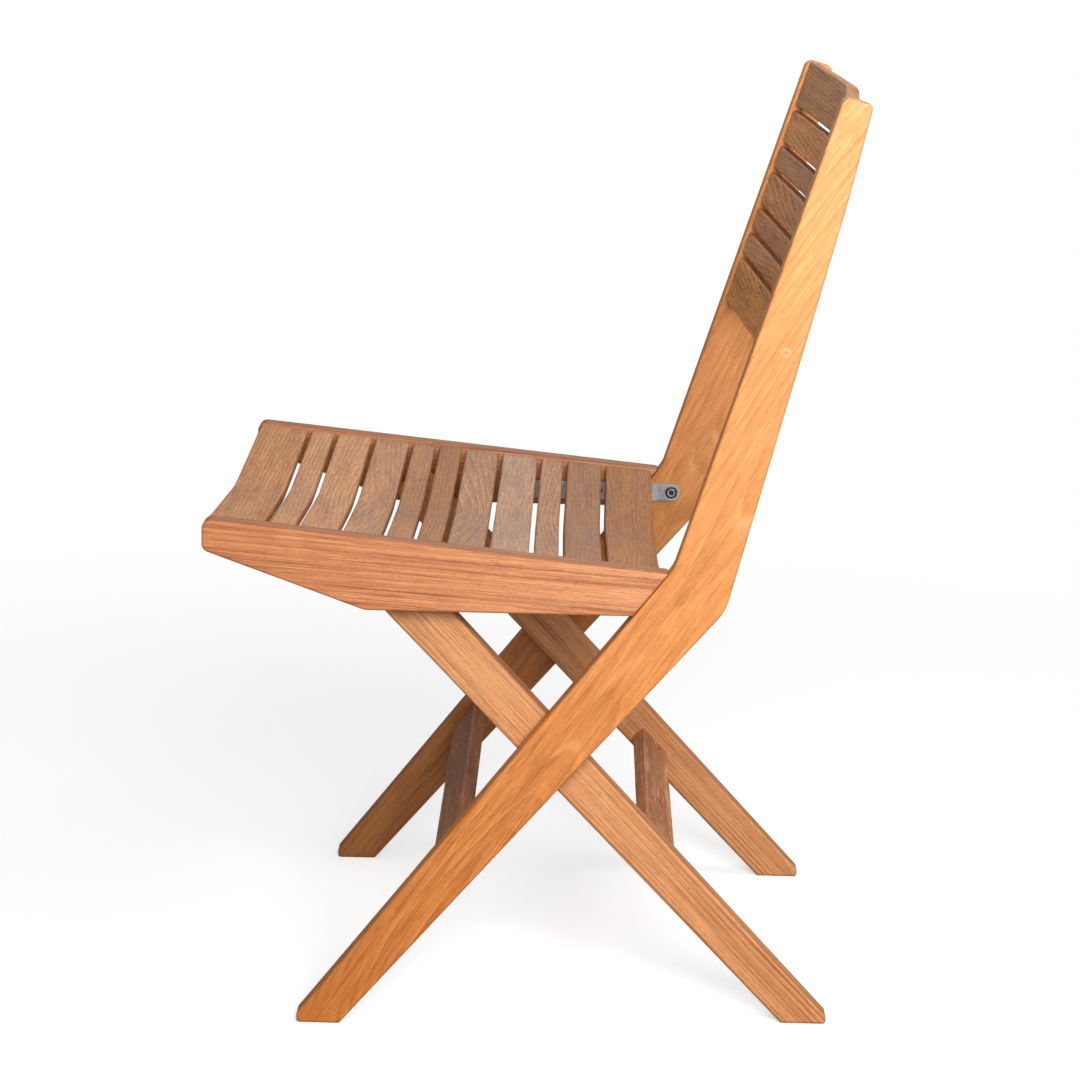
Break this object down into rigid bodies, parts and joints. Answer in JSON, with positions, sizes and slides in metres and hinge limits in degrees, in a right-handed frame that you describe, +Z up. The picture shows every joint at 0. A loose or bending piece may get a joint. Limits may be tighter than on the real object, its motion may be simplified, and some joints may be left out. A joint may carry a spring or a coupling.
{
  "type": "folding chair",
  "caption": "Slatted wooden folding chair with bent side posts, scissor-crossed rear legs, hollowed seat and back slats and steel link plates; the seat folds flat against the posts.",
  "frame": {"origin": "on the floor, under the middle of the chair's bounding box", "axes": "+Z up; the chair faces -Y, +Y is behind it, and +X is the sitter's left"},
  "size_m": [0.514, 0.5776, 0.8376],
  "materials": {
    "teak_post": "bare sanded teak, satin, straight open grain",
    "teak_rail": "bare sanded teak, satin, straight open grain",
    "teak_leg": "bare sanded teak, satin, straight open grain",
    "teak_stretcher": "bare sanded teak, satin, straight open grain",
    "teak_seat_slat": "bare sanded teak, satin, straight open grain",
    "teak_back_slat": "bare sanded teak, satin, straight open grain",
    "stainless_steel": "brushed stainless steel",
    "nylon": "matt black nylon"
  },
  "bodies": {
    "frame": {"side_post_left": "teak_post", "side_post_right": "teak_post", "back_slat_1": "teak_back_slat", "back_slat_2": "teak_back_slat", "back_slat_3": "teak_back_slat", "back_slat_4": "teak_back_slat", "back_slat_5": "teak_back_slat", "back_slat_6": "teak_back_slat", "back_slat_7": "teak_back_slat", "front_stretcher": "teak_stretcher", "cross_pivot_pins": "stainless_steel", "cross_pivot_washers": "nylon", "post_inserts": "stainless_steel", "link_post_bolts": "stainless_steel"},
    "legs": {"rear_leg_left": "teak_leg", "rear_leg_right": "teak_leg", "rear_stretcher": "teak_stretcher", "leg_top_pins": "stainless_steel"},
    "links": {"hinge_link_left": "stainless_steel", "hinge_link_right": "stainless_steel"},
    "seat": {"seat_rail_left": "teak_rail", "seat_rail_right": "teak_rail", "seat_slat_1": "teak_seat_slat", "seat_slat_2": "teak_seat_slat", "seat_slat_3": "teak_seat_slat", "seat_slat_4": "teak_seat_slat", "seat_slat_5": "teak_seat_slat", "seat_slat_6": "teak_seat_slat", "seat_slat_7": "teak_seat_slat", "seat_slat_8": "teak_seat_slat", "seat_slat_9": "teak_seat_slat", "seat_slat_10": "teak_seat_slat", "seat_slat_11": "teak_seat_slat", "rail_inserts": "stainless_steel", "link_seat_bolts": "stainless_steel", "rail_pivot_bushes": "nylon"}
  },
  "joints": [
    {"name": "legs_fold", "type": "hinge", "parent": "frame", "child": "legs", "pos_m": [0, 0.0195, 0.252], "axis": [1, 0, 0], "range_deg": [-68.28, 0]},
    {"name": "links_swing", "type": "hinge", "parent": "frame", "child": "links", "pos_m": [0, 0.1345, 0.3983], "axis": [1, 0, 0], "range_deg": [-94.7, 0]},
    {"name": "seat_tilt", "type": "hinge", "parent": "links", "child": "seat", "pos_m": [0, -0.0188, 0.3983], "axis": [1, 0, 0], "range_deg": [0, 166.5]}
  ],
  "couplings": [
    {"joint": "links_swing", "follows": "legs_fold", "ratio": 1.3869},
    {"joint": "seat_tilt", "follows": "legs_fold", "ratio": -2.4385}
  ]
}
